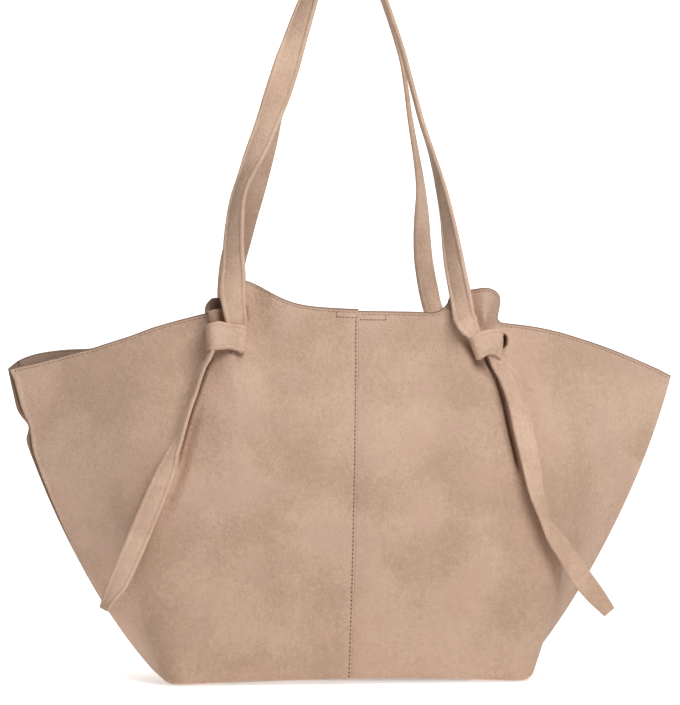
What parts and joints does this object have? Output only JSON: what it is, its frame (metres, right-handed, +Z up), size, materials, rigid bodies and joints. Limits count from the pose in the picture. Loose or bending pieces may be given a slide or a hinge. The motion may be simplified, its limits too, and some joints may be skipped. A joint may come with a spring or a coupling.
{
  "type": "shopper bag",
  "caption": "Soft winged suede shopper bag, open at the top, with long carrying straps knotted round the rim and free strap ends hanging below the knots.",
  "frame": {"origin": "centre of the bottom face of the base, on the surface that the bag stands on", "axes": "+Z up, the front wall faces -Y, +X towards the right wing as seen from the front"},
  "size_m": [0.5005, 0.1467, 0.555],
  "materials": {
    "suede": "brushed nap, matt, rosy tan",
    "suede_inside": "flesh side, matt, brown",
    "suede_strap": "brushed nap, matt, folded edges",
    "snap_metal": "satin"
  },
  "bodies": {
    "bag": {"front_panel_left": "suede", "front_panel_right": "suede", "back_panel_left": "suede", "back_panel_right": "suede", "base_panel": "suede", "front_facing": "suede_inside", "back_facing": "suede_inside", "front_seam_tape": "suede_inside", "back_seam_tape": "suede_inside", "side_seam_tape_left": "suede_inside", "side_seam_tape_right": "suede_inside", "snap_front": "snap_metal", "snap_back": "snap_metal", "knot_front_left": "suede_strap", "knot_front_right": "suede_strap", "knot_back_left": "suede_strap", "knot_back_right": "suede_strap"},
    "front_strap": {"front_strap": "suede_strap"},
    "back_strap": {"back_strap": "suede_strap"},
    "front_left_tail": {"tail_front_left": "suede_strap"},
    "front_right_tail": {"tail_front_right": "suede_strap"},
    "back_left_tail": {"tail_back_left": "suede_strap"},
    "back_right_tail": {"tail_back_right": "suede_strap"}
  },
  "joints": [
    {"name": "front_strap_swing", "type": "hinge", "parent": "bag", "child": "front_strap", "pos_m": [0, -0.0628, 0.2635], "axis": [1, 0, 0], "range_deg": [0, 140]},
    {"name": "back_strap_swing", "type": "hinge", "parent": "bag", "child": "back_strap", "pos_m": [0, 0.0636, 0.2635], "axis": [-1, 0, 0], "range_deg": [0, 140]},
    {"name": "front_left_tail_lift", "type": "hinge", "parent": "bag", "child": "front_left_tail", "pos_m": [-0.1002, -0.06052, 0.23755], "axis": [-1, 0, 0], "range_deg": [0, 90]},
    {"name": "front_right_tail_lift", "type": "hinge", "parent": "bag", "child": "front_right_tail", "pos_m": [0.1052, -0.06101, 0.24015], "axis": [-1, 0, 0], "range_deg": [0, 90]},
    {"name": "back_left_tail_lift", "type": "hinge", "parent": "bag", "child": "back_left_tail", "pos_m": [-0.0942, 0.062, 0.23755], "axis": [1, 0, 0], "range_deg": [0, 90]},
    {"name": "back_right_tail_lift", "type": "hinge", "parent": "bag", "child": "back_right_tail", "pos_m": [0.0992, 0.06206, 0.24015], "axis": [1, 0, 0], "range_deg": [0, 90]}
  ]
}
